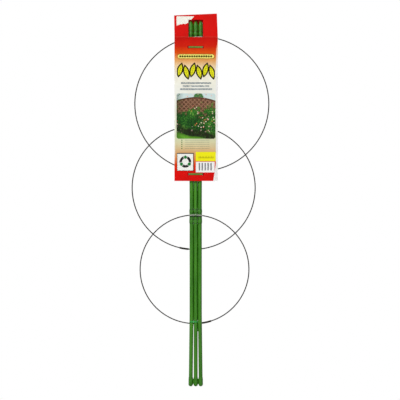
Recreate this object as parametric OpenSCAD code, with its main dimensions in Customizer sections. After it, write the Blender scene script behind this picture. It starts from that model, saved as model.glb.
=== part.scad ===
// Folding plant support: three coated stakes, three wire rings and a hanging sales card.
// +Z runs up the stakes, +Y points behind them, the origin is the tip of the centre stake's foot.
// It is drawn folded flat. In use the rings tilt back and the side stakes swing round to a third of a turn.

/* [Stakes] */
// Length of a stake over both caps
stake_len = 800; // [760:5:840]
// Outside diameter of the green coating
stake_d = 8.6; // [8.4:0.1:8.7]
// Outside diameter of the steel tube inside the coating
tube_d = 8; // [7.6:0.1:8.2]
// Bore of the steel tube
tube_bore = 7; // [6.4:0.1:7.2]
// Distance between neighbouring stakes in the middle of the folded bundle
pitch = 9.1; // [9.1:0.05:9.3]
// Distance between neighbouring stakes at the feet
foot_pitch = 11; // [10.9:0.1:11.2]
// Distance between neighbouring stakes at the tips
tip_pitch = 10.9; // [10.7:0.1:11.2]

/* [Caps] */
// Outside diameter of a foot cap
foot_d = 9.8; // [9.4:0.1:9.9]
// Height of a foot cap
foot_h = 20.4; // [18:0.2:24]
// Outside diameter of a top cap
tip_d = 9.6; // [9.4:0.1:9.8]
// Height of a top cap
tip_h = 20; // [19:0.5:23]

/* [Rings] */
// Diameter of the ring wire
wire_d = 2.4; // [2:0.1:2.5]
// Diameter of the top ring along the middle of its wire
ring_top_d = 293.6; // [286:0.4:300]
// Diameter of the middle ring along the middle of its wire
ring_mid_d = 269.6; // [264:0.4:276]
// Diameter of the bottom ring along the middle of its wire
ring_low_d = 238.4; // [232:0.4:244]
// Height of the top ring's eye
ring_top_z = 765; // [762:0.5:766]
// Height of the middle ring's eye
ring_mid_z = 569.5; // [565:0.5:574]
// Height of the bottom ring's eye
ring_low_z = 375.5; // [370:0.5:380]
// How far to the right the folded top ring hangs
ring_top_shift = 13.4; // [0:0.2:14]
// How far to the right the folded middle ring hangs
ring_mid_shift = -4.5; // [-6:0.1:6]
// How far to the right the folded bottom ring hangs
ring_low_shift = -2.6; // [-6:0.1:6]
// Outside diameter of the sleeve that closes a ring
sleeve_d = 4.2; // [3.6:0.1:4.4]
// Length of that sleeve
sleeve_len = 20; // [16:0.5:22]

/* [Ring stops] */
// Outside diameter of the beads that hold a ring's height
bead_d = 9.9; // [9.6:0.1:10]
// Bore of the eye that a ring pivots in
eye_bore = 3.5; // [3.4:0.1:3.6]
// Outside diameter of that eye
eye_d = 5.1; // [4.9:0.1:5.2]
// Width of that eye along the wire
eye_w = 3.6; // [3:0.2:4]

/* [Card] */
// Thickness of the card
card_t = 0.6; // [0.4:0.1:0.8]
// Left edge of the card
card_left = -46.5; // [-50:0.5:-42]
// Right edge of the card
card_right = 48.4; // [42:0.2:52]
// Height of the card's bottom edge
card_low = 450; // [440:1:455]
// Height of the crease, where the tips come out
card_crease = 765; // [764:0.5:768]
// Angle that the top flap leans back
flap_lean = 5; // [0:1:6]

/* [Ties] */
// Height of the tie strip
tie_h = 3.5; // [3:0.1:4]
// Thickness of the tie strip
tie_t = 0.7; // [0.5:0.1:0.7]
// Height of the upper card tie
tie_upper_z = 743; // [741:0.2:743.2]
// Height of the lower card tie
tie_lower_z = 465; // [463:0.2:465.4]
// Height of the tie low on the centre stake
tie_low_z = 141.5; // [141:0.5:145]

/* [Hidden] */
$fn = 64;

stake_r = stake_d / 2;
wire_r = wire_d / 2;
// the tube stops short of both caps' closed ends
tube_low = 6;
tube_high = stake_len - 7;
// the wire's middle in front of the stakes at the eye, and behind them at the ring's foot
wire_front = 6.5;
wire_back = 6;
// collar: skin over the coating, and the beads above and below the wire
skin_r = stake_r + 0.3;
bead_up = 8.1;
bead_up_h = 4.4;
bead_down = -13.5;
bead_down_h = 5;
green = [0.20, 0.45, 0.10];
dark_green = [0.13, 0.36, 0.08];
wire_grey = [0.30, 0.30, 0.27];
sleeve_grey = [0.17, 0.18, 0.12];
steel = [0.62, 0.63, 0.65];
card_red = [0.85, 0.12, 0.06];
tie_green = [0.20, 0.62, 0.22];

// ---- stakes ----
// s is -1 for the left stake, 0 for the centre one, 1 for the right one.
// A side stake runs close beside the centre one and splays a little to its foot and to its tip.
bend_low = 160;
bend_high = 400;
splay_low = atan((foot_pitch - pitch) / bend_low);
splay_high = atan((tip_pitch - pitch) / (stake_len - bend_high));

// distance between neighbouring stakes at a height
function apart(z) =
  z < bend_low ? pitch + (foot_pitch - pitch) * (bend_low - z) / bend_low :
  z > bend_high ? pitch + (tip_pitch - pitch) * (z - bend_high) / (stake_len - bend_high) : pitch;

// places on a stake: on its lower run, its middle run and its upper run
module on_low(s) {
  translate([s * pitch, 0, bend_low]) rotate([0, -s * splay_low, 0]) translate([0, 0, -bend_low]) children();
}

module on_mid(s) {
  translate([s * pitch, 0, 0]) children();
}

module on_high(s) {
  translate([s * pitch, 0, bend_high]) rotate([0, s * splay_high, 0]) translate([0, 0, -bend_high]) children();
}

// a rod in three runs, swelling very slightly where it is bent
module rod(s, d, z0, z1) {
  if (s == 0) translate([0, 0, z0]) cylinder(d = d, h = z1 - z0);
  else {
    on_low(s) translate([0, 0, z0]) cylinder(d = d, h = bend_low - z0);
    on_mid(s) translate([0, 0, bend_low]) sphere(d = d + 0.24);
    on_mid(s) translate([0, 0, bend_low]) cylinder(d = d, h = bend_high - bend_low);
    on_mid(s) translate([0, 0, bend_high]) sphere(d = d + 0.24);
    on_high(s) translate([0, 0, bend_high]) cylinder(d = d, h = z1 - bend_high);
  }
}

module bent_pipe(s, d, bore) {
  difference() {
    rod(s, d, tube_low, tube_high);
    rod(s, bore, tube_low - 1, tube_high + 1);
  }
}

module stake_tube(s) {
  color(steel) bent_pipe(s, tube_d, tube_bore);
}

module stake_coating(s) {
  color(green) bent_pipe(s, stake_d, tube_d);
}

// pointed cap pushed over the top of a stake
module top_cap(s) {
  r = tip_d / 2;
  ogive = 19;
  dome = 3.6;
  color(dark_green) on_high(s) translate([0, 0, stake_len - tip_h]) rotate_extrude() difference() {
    intersection() {
      square([r, tip_h]);
      union() {
        square([r, tip_h - 10]);
        translate([r - ogive, tip_h - 10]) circle(r = ogive, $fn = 96);
      }
      union() {
        square([r, tip_h - dome]);
        translate([0, tip_h - dome]) circle(r = dome);
      }
    }
    square([stake_r, tip_h - 7]);
  }
}

// round foot cap with a flared skirt
module foot_cap(s) {
  r = foot_d / 2;
  color(dark_green) on_low(s) rotate_extrude() difference() {
    union() {
      intersection() {
        translate([0, r]) circle(r = r);
        square([r, r]);
      }
      translate([0, r]) square([r, foot_h - 4.4 - r]);
      polygon([[0, foot_h - 4.4], [r, foot_h - 4.4], [stake_r + 0.25, foot_h], [0, foot_h]]);
    }
    translate([0, tube_low]) square([stake_r, foot_h]);
  }
}

// ---- ring stops ----
// half section of one bead: a flat arc on the collar's skin
module bead_section(zc, h, bore) {
  rise = bead_d / 2 - skin_r;
  arc = (h * h + rise * rise) / (2 * rise);
  intersection() {
    translate([bead_d / 2 - arc, zc]) circle(r = arc, $fn = 128);
    translate([bore, zc - h]) square([bead_d, 2 * h]);
  }
}

// a collar at the height z, before it is put on its stake: flat on the sides that face a neighbour.
// On a splayed run it slips on with a little room
module collar(s, z) {
  bore = stake_r + (s != 0 && z > bend_high ? 0.05 : 0);
  low = bead_down - bead_down_h;
  flat = apart(z + low) / 2 - 0.12;
  x0 = s < 0 ? -20 : -flat;
  x1 = s > 0 ? 20 : flat;
  color(dark_green) translate([0, 0, z]) intersection() {
    rotate_extrude() {
      translate([bore, low]) square([skin_r - bore, bead_up + bead_up_h - low]);
      bead_section(bead_up, bead_up_h, bore);
      bead_section(bead_down, bead_down_h, bore);
    }
    translate([x0, -20, low - 5]) cube([x1 - x0, 40, bead_up + bead_up_h - low + 10]);
  }
}

// the centre stake's collar also has the eye that the ring pivots in
module eye_collar(z) {
  color(dark_green) difference() {
    union() {
      collar(0, z);
      translate([-eye_w / 2, -wire_front, z]) rotate([0, 90, 0]) cylinder(d = eye_d, h = eye_w);
      // web from the eye to the collar
      translate([-eye_w / 2, -wire_front, z - eye_d / 2]) cube([eye_w, wire_front - stake_r + 0.15, eye_d]);
    }
    translate([-eye_w, -wire_front, z]) rotate([0, 90, 0]) cylinder(d = eye_bore, h = 2 * eye_w);
    cylinder(r = stake_r, h = stake_len);
  }
}

// ---- rings ----
// folded place of a ring: it hangs from its eye, turned a little in its own plane,
// and leans so that its foot passes behind the stakes
module hung(d, z, shift) {
  turn = -asin(shift / (d / 2));
  lean = asin((wire_front + wire_back) / (d * cos(turn)));
  translate([0, -wire_front, z]) rotate([lean, 0, 0]) rotate([0, turn, 0])
    translate([0, 0, -d / 2]) rotate([90, 0, 0]) children();
}

// bent wire whose ends meet, with a small gap, inside the sleeve
module ring_wire(d, at) {
  gap = 0.6;
  rotate([0, 0, at + gap / 2]) rotate_extrude(angle = 360 - gap, $fn = 180)
    translate([d / 2, 0]) circle(r = wire_r, $fn = 24);
}

module ring_sleeve(d, at) {
  span = sleeve_len / (d / 2) * 180 / PI;
  rotate([0, 0, at - span / 2]) rotate_extrude(angle = span, $fn = 180)
    translate([d / 2, 0]) difference() {
      circle(d = sleeve_d, $fn = 24);
      circle(r = wire_r + 0.02, $fn = 24);
    }
}

top_join = 272;
mid_join = 263;
low_join = 284.2;

// ---- card ----
// a bent strip of card: its side profile, run across from x0 to x1
module strip(x0, x1, profile) {
  translate([x0, 0, 0]) rotate([90, 0, 90]) linear_extrude(height = x1 - x0) polygon(profile);
}

card_y = -10;
window_w = 32.4;
window_h = 38;
hole_x = 14.9;
hole_w = 1.6;
hole_h = 4.1;

module sales_card() {
  front = card_y - card_t / 2;
  back = card_y + card_t / 2;
  flap = 60;
  reach = flap * sin(flap_lean);
  rise = flap * cos(flap_lean);
  top = card_crease + window_h + 0.4;
  color(card_red) difference() {
    union() {
      // main panel and the top flap that leans back from the crease
      strip(card_left - 2, card_right, [
        [front, card_low], [back, card_low],
        [back, card_crease], [back + reach, card_crease + rise],
        [front + reach, card_crease + rise], [front, card_crease]]);
    }
    // left edge, square below the crease and a little wider at the top
    rotate([90, 0, 0]) linear_extrude(height = 80, center = true)
      polygon([[card_left - 9, card_low - 5], [card_left, card_low - 5], [card_left, card_crease], [card_left - 0.8, card_crease + 47.6], [card_left - 0.8, card_crease + 90], [card_left - 9, card_crease + 90]]);
    // right edge of the flap
    rotate([90, 0, 0]) linear_extrude(height = 80, center = true)
      polygon([[card_right + 4, card_crease], [card_right, card_crease], [card_right - 2, card_crease + 52], [card_right - 2, card_crease + 90], [card_right + 4, card_crease + 90]]);
    // top edge, lower on the left
    rotate([90, 0, 0]) linear_extrude(height = 80, center = true)
      polygon([[card_left - 9, card_crease + 47.2], [card_right + 9, card_crease + 52.2], [card_right + 9, card_crease + 90], [card_left - 9, card_crease + 90]]);
    // window that the tips show through
    translate([-window_w / 2, -30, card_crease]) cube([window_w, 40, window_h]);
    // tie holes
    for (z = [tie_upper_z, tie_lower_z]) for (s = [-1, 1])
      translate([s * hole_x - hole_w / 2, -30, z - hole_h / 2]) cube([hole_w, 40, hole_h]);
  }
  // tongue folded back over the tips and down behind them
  color(card_red) strip(-window_w / 2 + 0.1, window_w / 2 - 0.1, [
    [card_y + window_h * tan(flap_lean) + 0.05, top], [7.2 - card_t, top], [7.2 - card_t, card_crease + 1.2],
    [7.2, card_crease + 1.2], [7.2, top + card_t], [card_y + window_h * tan(flap_lean) + 0.05, top + card_t]]);
}

// ---- ties ----
// the strip is thinner where it passes between two stakes
core_t = 0.36;

module leg(a, b, t) {
  translate(a) rotate(atan2(b[1] - a[1], b[0] - a[0])) translate([0, -t / 2]) square([norm(b - a), t]);
  translate(a) circle(d = t, $fn = 16);
  translate(b) circle(d = t, $fn = 16);
}

// across the card's front, in through two holes, round the centre stake and twisted behind it
module card_tie(z) {
  front_y = card_y - card_t / 2 - tie_t / 2 - 0.12;
  behind_y = card_y + card_t / 2 + tie_t / 2 + 0.35;
  gap_x = apart(z) / 2;
  back_y = stake_r + 1.2;
  color(tie_green) {
    translate([0, 0, z - tie_h / 2]) linear_extrude(height = tie_h) {
      leg([-hole_x, front_y], [hole_x, front_y], tie_t);
      for (s = [-1, 1]) {
        leg([s * hole_x, front_y], [s * hole_x, behind_y], tie_t);
        leg([s * hole_x, behind_y], [s * gap_x, behind_y], tie_t);
        leg([s * gap_x, behind_y], [s * gap_x, back_y - 1.6], core_t);
        leg([s * gap_x, back_y - 1.6], [0, back_y], core_t);
      }
    }
    // twisted tail
    translate([0, back_y + 0.3, z - tie_h / 2 - 14]) cylinder(r = 0.95, h = 14 + tie_h, $fn = 24);
  }
}

// a thin band round the centre stake, with its tail lying across the front to the left
module low_tie() {
  color(tie_green) translate([0, 0, tie_low_z - tie_h / 2]) difference() {
    linear_extrude(height = tie_h) {
      circle(r = stake_r + 0.3);
      leg([1.5, -stake_r - 0.95], [-12, -stake_r - 0.95], tie_t);
      translate([-1.5, -stake_r - 0.95]) square([3, 1.5]);
    }
    translate([0, 0, -1]) cylinder(r = stake_r, h = tie_h + 2);
  }
}

stake_tube(0);  // centre_tube
stake_coating(0);  // centre_coating
top_cap(0);  // centre_top_cap
foot_cap(0);  // centre_foot_cap
eye_collar(ring_top_z);  // centre_eye_collar_top
eye_collar(ring_mid_z);  // centre_eye_collar_mid
eye_collar(ring_low_z);  // centre_eye_collar_low
stake_tube(-1);  // left_tube
stake_coating(-1);  // left_coating
top_cap(-1);  // left_top_cap
foot_cap(-1);  // left_foot_cap
on_high(-1) collar(-1, ring_top_z);  // left_stop_collar_top
on_high(-1) collar(-1, ring_mid_z);  // left_stop_collar_mid
on_mid(-1) collar(-1, ring_low_z);  // left_stop_collar_low
stake_tube(1);  // right_tube
stake_coating(1);  // right_coating
top_cap(1);  // right_top_cap
foot_cap(1);  // right_foot_cap
on_high(1) collar(1, ring_top_z);  // right_stop_collar_top
on_high(1) collar(1, ring_mid_z);  // right_stop_collar_mid
on_mid(1) collar(1, ring_low_z);  // right_stop_collar_low
color(wire_grey) hung(ring_top_d, ring_top_z, ring_top_shift) ring_wire(ring_top_d, top_join);  // top_ring_wire
color(sleeve_grey) hung(ring_top_d, ring_top_z, ring_top_shift) ring_sleeve(ring_top_d, top_join);  // top_ring_sleeve
color(wire_grey) hung(ring_mid_d, ring_mid_z, ring_mid_shift) ring_wire(ring_mid_d, mid_join);  // middle_ring_wire
color(sleeve_grey) hung(ring_mid_d, ring_mid_z, ring_mid_shift) ring_sleeve(ring_mid_d, mid_join);  // middle_ring_sleeve
color(wire_grey) hung(ring_low_d, ring_low_z, ring_low_shift) ring_wire(ring_low_d, low_join);  // bottom_ring_wire
color(sleeve_grey) hung(ring_low_d, ring_low_z, ring_low_shift) ring_sleeve(ring_low_d, low_join);  // bottom_ring_sleeve
sales_card();
card_tie(tie_upper_z);  // upper_card_tie
card_tie(tie_lower_z);  // lower_card_tie
low_tie();  // low_stake_tie
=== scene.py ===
import math

import bmesh
import bpy
import numpy as np
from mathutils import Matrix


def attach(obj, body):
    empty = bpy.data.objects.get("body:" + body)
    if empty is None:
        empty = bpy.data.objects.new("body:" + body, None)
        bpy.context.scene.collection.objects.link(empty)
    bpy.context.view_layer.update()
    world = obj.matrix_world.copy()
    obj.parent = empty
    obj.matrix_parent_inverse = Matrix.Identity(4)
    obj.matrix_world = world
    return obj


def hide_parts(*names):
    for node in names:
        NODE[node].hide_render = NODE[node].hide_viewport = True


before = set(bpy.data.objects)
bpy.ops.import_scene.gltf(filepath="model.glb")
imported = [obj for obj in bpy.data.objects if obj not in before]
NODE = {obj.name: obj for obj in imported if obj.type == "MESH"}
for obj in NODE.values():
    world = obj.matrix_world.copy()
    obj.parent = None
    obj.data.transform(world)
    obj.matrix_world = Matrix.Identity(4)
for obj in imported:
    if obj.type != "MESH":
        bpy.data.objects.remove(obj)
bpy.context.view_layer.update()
MM = 0.001
HOLE_X = 14.9
# the side feet reach a little lower once they are spread
FLOOR_Z = -0.0098
scene = bpy.context.scene


# ---------------------------------------------------------------- camera, light, stage
def make_camera():
    cam = bpy.data.objects.new("camera", bpy.data.cameras.new("camera"))
    cam.data.sensor_width = 36.0
    cam.data.lens = 246.4
    cam.data.clip_start, cam.data.clip_end = 0.05, 200.0
    cam.location = (0.0094, -6.0, 0.4084)
    cam.rotation_euler = (math.radians(90), 0, 0)
    scene.collection.objects.link(cam)
    scene.camera = cam


def area_light(name, place, aim, size, power, colour=(1, 1, 1)):
    data = bpy.data.lights.new(name, "AREA")
    data.shape = "DISK"
    data.size = size
    data.energy = power
    data.color = colour
    o = bpy.data.objects.new(name, data)
    o.location = place
    d = np.array(aim, float) - np.array(place, float)
    d /= np.linalg.norm(d)
    from mathutils import Vector
    o.rotation_mode = "QUATERNION"
    o.rotation_quaternion = Vector(d).to_track_quat("-Z", "Y")
    scene.collection.objects.link(o)


def make_stage():
    scene.view_settings.view_transform = "Standard"
    scene.view_settings.look = "None"
    world = bpy.data.worlds.new("studio")
    scene.world = world
    world.use_nodes = True
    nt = world.node_tree
    nt.nodes.clear()
    out = nt.nodes.new("ShaderNodeOutputWorld")
    soft = nt.nodes.new("ShaderNodeBackground")
    soft.inputs["Color"].default_value = (1.0, 1.0, 1.0, 1)
    soft.inputs["Strength"].default_value = 0.22
    seen = nt.nodes.new("ShaderNodeBackground")
    seen.inputs["Color"].default_value = (1, 1, 1, 1)
    seen.inputs["Strength"].default_value = 1.0
    path = nt.nodes.new("ShaderNodeLightPath")
    mix = nt.nodes.new("ShaderNodeMixShader")
    nt.links.new(path.outputs["Is Camera Ray"], mix.inputs[0])
    nt.links.new(soft.outputs[0], mix.inputs[1])
    nt.links.new(seen.outputs[0], mix.inputs[2])
    nt.links.new(mix.outputs[0], out.inputs[0])

    mesh = bpy.data.meshes.new("floor")
    s = 60.0
    mesh.from_pydata([(-s, -s, FLOOR_Z), (s, -s, FLOOR_Z), (s, s, FLOOR_Z), (-s, s, FLOOR_Z)], [], [(0, 1, 2, 3)])
    floor = bpy.data.objects.new("floor", mesh)
    scene.collection.objects.link(floor)
    m = bpy.data.materials.new("floor")
    m.use_nodes = True
    nt = m.node_tree
    b = nt.nodes["Principled BSDF"]
    b.inputs["Base Color"].default_value = (0.60, 0.60, 0.60, 1)
    b.inputs["Roughness"].default_value = 0.9
    b.inputs["Specular IOR Level"].default_value = 0.0
    # it looks as white as the backdrop, and no brighter, so that thin edges before it keep their width
    glow = nt.nodes.new("ShaderNodeEmission")
    glow.inputs["Strength"].default_value = 1.0
    path = nt.nodes.new("ShaderNodeLightPath")
    pick = nt.nodes.new("ShaderNodeMixShader")
    nt.links.new(path.outputs["Is Camera Ray"], pick.inputs[0])
    nt.links.new(b.outputs[0], pick.inputs[1])
    nt.links.new(glow.outputs[0], pick.inputs[2])
    nt.links.new(pick.outputs[0], nt.nodes["Material Output"].inputs[0])
    floor.data.materials.append(m)

    area_light("key", (-2.1, -3.6, 2.6), (0, 0, 0.42), 1.5, 150)
    area_light("fill", (2.6, -3.2, 1.0), (0, 0, 0.42), 2.2, 14)
    area_light("back", (0.8, 3.4, 2.6), (0, 0, 0.45), 2.4, 70)


make_camera()
make_stage()


# ---------------------------------------------------------------- materials
class Mat:
    """A material and short ways to add nodes to it. Coordinates are the piece's own, in millimetres."""

    def __init__(self, name, rough=0.5, metallic=0.0, coat=0.0, coat_rough=0.1, specular=0.5):
        self.m = bpy.data.materials.new(name)
        self.m.use_nodes = True
        self.nt = self.m.node_tree
        self.nt.nodes.clear()
        self.out = self.nt.nodes.new("ShaderNodeOutputMaterial")
        self.b = self.nt.nodes.new("ShaderNodeBsdfPrincipled")
        self.nt.links.new(self.b.outputs[0], self.out.inputs[0])
        i = self.b.inputs
        i["Roughness"].default_value = rough
        i["Metallic"].default_value = metallic
        i["Coat Weight"].default_value = coat
        i["Coat Roughness"].default_value = coat_rough
        i["Specular IOR Level"].default_value = specular
        tc = self.nt.nodes.new("ShaderNodeTexCoord")
        self.mm = self.vmath("MULTIPLY", tc.outputs["Object"], (1000.0, 1000.0, 1000.0))
        sep = self.nt.nodes.new("ShaderNodeSeparateXYZ")
        self.nt.links.new(self.mm, sep.inputs[0])
        self.x, self.y, self.z = sep.outputs[0], sep.outputs[1], sep.outputs[2]

    def put(self, socket, v):
        if isinstance(v, bpy.types.NodeSocket):
            self.nt.links.new(v, socket)
        elif isinstance(v, (tuple, list)) and len(v) == 3 and socket.type == "RGBA":
            socket.default_value = (*v, 1.0)
        else:
            socket.default_value = v

    def math(self, op, a, b=None, c=None, clamp=False):
        n = self.nt.nodes.new("ShaderNodeMath")
        n.operation = op
        n.use_clamp = clamp
        for i, v in enumerate((a, b, c)):
            if v is not None:
                self.put(n.inputs[i], v)
        return n.outputs[0]

    def vmath(self, op, a, b):
        n = self.nt.nodes.new("ShaderNodeVectorMath")
        n.operation = op
        self.put(n.inputs[0], a)
        self.put(n.inputs[1], b)
        return n.outputs[0]

    def noise(self, scale, detail=3.0, rough=0.55, distort=0.0, shift=(0, 0, 0)):
        """Noise whose features are 1/scale mm along each axis."""
        v = self.vmath("MULTIPLY", self.mm, scale)
        if any(shift):
            v = self.vmath("ADD", v, shift)
        n = self.nt.nodes.new("ShaderNodeTexNoise")
        self.nt.links.new(v, n.inputs["Vector"])
        n.inputs["Scale"].default_value = 1.0
        n.inputs["Detail"].default_value = detail
        n.inputs["Roughness"].default_value = rough
        n.inputs["Distortion"].default_value = distort
        return n.outputs[0]

    def cells(self, scale, shift=(0, 0, 0), randomness=1.0):
        """Voronoi cells: (distance to the cell's middle, the cell's random colour)."""
        v = self.vmath("MULTIPLY", self.mm, scale)
        if any(shift):
            v = self.vmath("ADD", v, shift)
        n = self.nt.nodes.new("ShaderNodeTexVoronoi")
        self.nt.links.new(v, n.inputs["Vector"])
        n.inputs["Scale"].default_value = 1.0
        n.inputs["Randomness"].default_value = randomness
        return n.outputs["Distance"], n.outputs["Color"]

    def ramp(self, fac, stops, mode="LINEAR"):
        n = self.nt.nodes.new("ShaderNodeValToRGB")
        n.color_ramp.interpolation = mode
        e = n.color_ramp.elements
        while len(e) < len(stops):
            e.new(0.5)
        for el, (p, c) in zip(e, stops):
            el.position = p
            el.color = (*c, 1) if len(c) == 3 else c
        self.nt.links.new(fac, n.inputs[0])
        return n.outputs[0]

    def grade(self, v, lo, hi, a=0.0, b=1.0):
        """v from lo..hi onto a..b, clamped."""
        n = self.nt.nodes.new("ShaderNodeMapRange")
        n.clamp = True
        self.put(n.inputs[0], v)
        for i, k in zip((1, 2, 3, 4), (lo, hi, a, b)):
            n.inputs[i].default_value = k
        return n.outputs[0]

    def mix(self, fac, a, b, mode="MIX"):
        n = self.nt.nodes.new("ShaderNodeMix")
        n.data_type = "RGBA"
        n.blend_type = mode
        self.put(n.inputs[0], fac)
        self.put(n.inputs[6], a)
        self.put(n.inputs[7], b)
        return n.outputs[2]

    def finish(self, colour, rough=None, height=None, depth=0.05, strength=1.0):
        """Colour, roughness and a bump height whose full range is depth mm deep."""
        self.put(self.b.inputs["Base Color"], colour)
        if rough is not None:
            self.put(self.b.inputs["Roughness"], rough)
        if height is not None:
            n = self.nt.nodes.new("ShaderNodeBump")
            n.inputs["Strength"].default_value = strength
            n.inputs["Distance"].default_value = depth * MM
            self.nt.links.new(height, n.inputs["Height"])
            self.nt.links.new(n.outputs[0], self.b.inputs["Normal"])
        return self.m

    # ---- flat shapes in the card's plane, as signed distances in mm
    def box(self, cx, cz, hx, hz, r=0.0):
        qx = self.math("SUBTRACT", self.math("ABSOLUTE", self.math("SUBTRACT", self.x, cx)), hx - r)
        qz = self.math("SUBTRACT", self.math("ABSOLUTE", self.math("SUBTRACT", self.z, cz)), hz - r)
        if r == 0.0:
            return self.math("MAXIMUM", qx, qz)
        ox, oz = self.math("MAXIMUM", qx, 0.0), self.math("MAXIMUM", qz, 0.0)
        far = self.math("SQRT", self.math("MULTIPLY_ADD", ox, ox, self.math("MULTIPLY", oz, oz)))
        near = self.math("MINIMUM", self.math("MAXIMUM", qx, qz), 0.0)
        return self.math("SUBTRACT", self.math("ADD", far, near), r)

    def disc(self, cx, cz, r):
        dx, dz = self.math("SUBTRACT", self.x, cx), self.math("SUBTRACT", self.z, cz)
        d = self.math("SQRT", self.math("MULTIPLY_ADD", dx, dx, self.math("MULTIPLY", dz, dz)))
        return self.math("SUBTRACT", d, r)

    def inside(self, d, soft=0.35):
        return self.math("MULTIPLY_ADD", d, -1.0 / soft, 0.5, clamp=True)

    def both(self, a, b):
        return self.math("MULTIPLY", a, b)


def srgb(r, g, b):
    """A colour given as 0-255 display values."""
    def lin(v):
        v /= 255.0
        return v / 12.92 if v <= 0.04045 else ((v + 0.055) / 1.055) ** 2.4
    return (lin(r), lin(g), lin(b))


def coating_material():
    """Extruded green plastic skin: die lines along the stake, faint cloudiness, dust and scuffs."""
    m = Mat("green_coating", rough=0.35, coat=0.05, coat_rough=0.25, specular=0.38)
    lines = m.noise((2.2, 2.2, 0.012), 4, 0.6)
    cloud = m.noise((0.18, 0.18, 0.02), 3, 0.5, shift=(9, 2, 4))
    grain = m.noise((6, 6, 3), 2, 0.5)
    colour = m.ramp(cloud, [(0.3, srgb(44, 112, 11)), (0.52, srgb(58, 130, 18)), (0.75, srgb(74, 148, 29))])
    colour = m.mix(m.grade(lines, 0.5, 0.78, 0.0, 0.35), colour, srgb(98, 166, 54))
    colour = m.mix(m.grade(lines, 0.46, 0.25, 0.0, 0.4), colour, srgb(24, 82, 4))
    scuff = m.both(m.grade(m.noise((1.6, 1.6, 0.25), 5, 0.7, shift=(31, 7, 2)), 0.62, 0.74), 0.18)
    colour = m.mix(scuff, colour, srgb(146, 184, 106))
    # soil dust near the feet
    dust = m.both(m.grade(m.z, 150.0, 10.0), m.grade(m.noise((0.5, 0.5, 0.2), 4, 0.6), 0.45, 0.75, 0.0, 0.35))
    colour = m.mix(dust, colour, srgb(92, 104, 62))
    rough = m.grade(m.math("ADD", grain, scuff), 0.2, 1.0, 0.30, 0.52)
    height = m.math("MULTIPLY_ADD", lines, 0.75, m.math("MULTIPLY", grain, 0.25))
    return m.finish(colour, rough, height, depth=0.10, strength=0.6)


def moulding_material():
    """Moulded green plastic of the caps and ring stops: slightly darker, satin, fine spark texture."""
    m = Mat("green_moulding", rough=0.4, coat=0.05, coat_rough=0.3, specular=0.4)
    cloud = m.noise((0.3, 0.3, 0.3), 3, 0.5)
    grain = m.noise((5, 5, 5), 2, 0.6)
    colour = m.ramp(cloud, [(0.3, srgb(44, 108, 10)), (0.55, srgb(56, 128, 18)), (0.8, srgb(72, 146, 28))])
    flow = m.noise((0.7, 0.7, 0.12), 4, 0.6, distort=0.6)
    colour = m.mix(m.grade(flow, 0.55, 0.8, 0.0, 0.4), colour, srgb(88, 160, 42))
    scuff = m.both(m.grade(m.noise((1.4, 1.4, 1.1), 5, 0.7, shift=(3, 17, 2)), 0.62, 0.75), 0.2)
    colour = m.mix(scuff, colour, srgb(146, 184, 106))
    dust = m.both(m.grade(m.z, 24.0, 0.0), m.grade(m.noise((0.6, 0.6, 0.5), 4, 0.6), 0.42, 0.75, 0.0, 0.25))
    colour = m.mix(dust, colour, srgb(84, 98, 56))
    for level in (375.5, 569.5, 765.0):
        dz = m.math("SUBTRACT", m.z, level)
        # painted shade in the corners at the ends of the beads, and a painted shadow on the collar under the wire
        up = m.math("ABSOLUTE", m.math("SUBTRACT", m.math("ABSOLUTE", m.math("SUBTRACT", dz, 8.1)), 3.9))
        down = m.math("ABSOLUTE", m.math("SUBTRACT", m.math("ABSOLUTE", m.math("ADD", dz, 13.5)), 4.5))
        colour = m.mix(m.grade(m.math("MINIMUM", up, down), 1.5, 0.4, 0.0, 0.7), colour, srgb(14, 62, 5))
        under = m.both(m.grade(m.math("ABSOLUTE", m.math("ADD", dz, 3.6)), 2.2, 1.0), m.grade(m.y, 0.5, -1.5, 0.0, 0.8))
        colour = m.mix(under, colour, srgb(12, 52, 5))
        # painted highlight: the eye's front is painted pale
        pale = m.both(m.grade(m.math("ABSOLUTE", m.math("SUBTRACT", dz, 0.9)), 1.7, 1.1), m.grade(m.y, -5.4, -6.2, 0.0, 0.8))
        colour = m.mix(pale, colour, srgb(150, 166, 142))
    rough = m.grade(m.math("ADD", grain, scuff), 0.2, 1.0, 0.34, 0.56)
    return m.finish(colour, rough, grain, depth=0.06, strength=0.5)


def steel_material():
    """Thin drawn steel tube: bright, with drawing lines and a few dull spots."""
    m = Mat("steel_tube", rough=0.35, metallic=1.0)
    lines = m.noise((3, 3, 0.02), 4, 0.6)
    spots = m.noise((0.4, 0.4, 0.1), 4, 0.6)
    colour = m.ramp(lines, [(0.3, srgb(150, 152, 155)), (0.7, srgb(196, 197, 198))])
    colour = m.mix(m.grade(spots, 0.58, 0.75, 0, 0.6), colour, srgb(120, 108, 92))
    return m.finish(colour, m.grade(lines, 0.2, 0.8, 0.28, 0.5), lines, depth=0.02)


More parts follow.
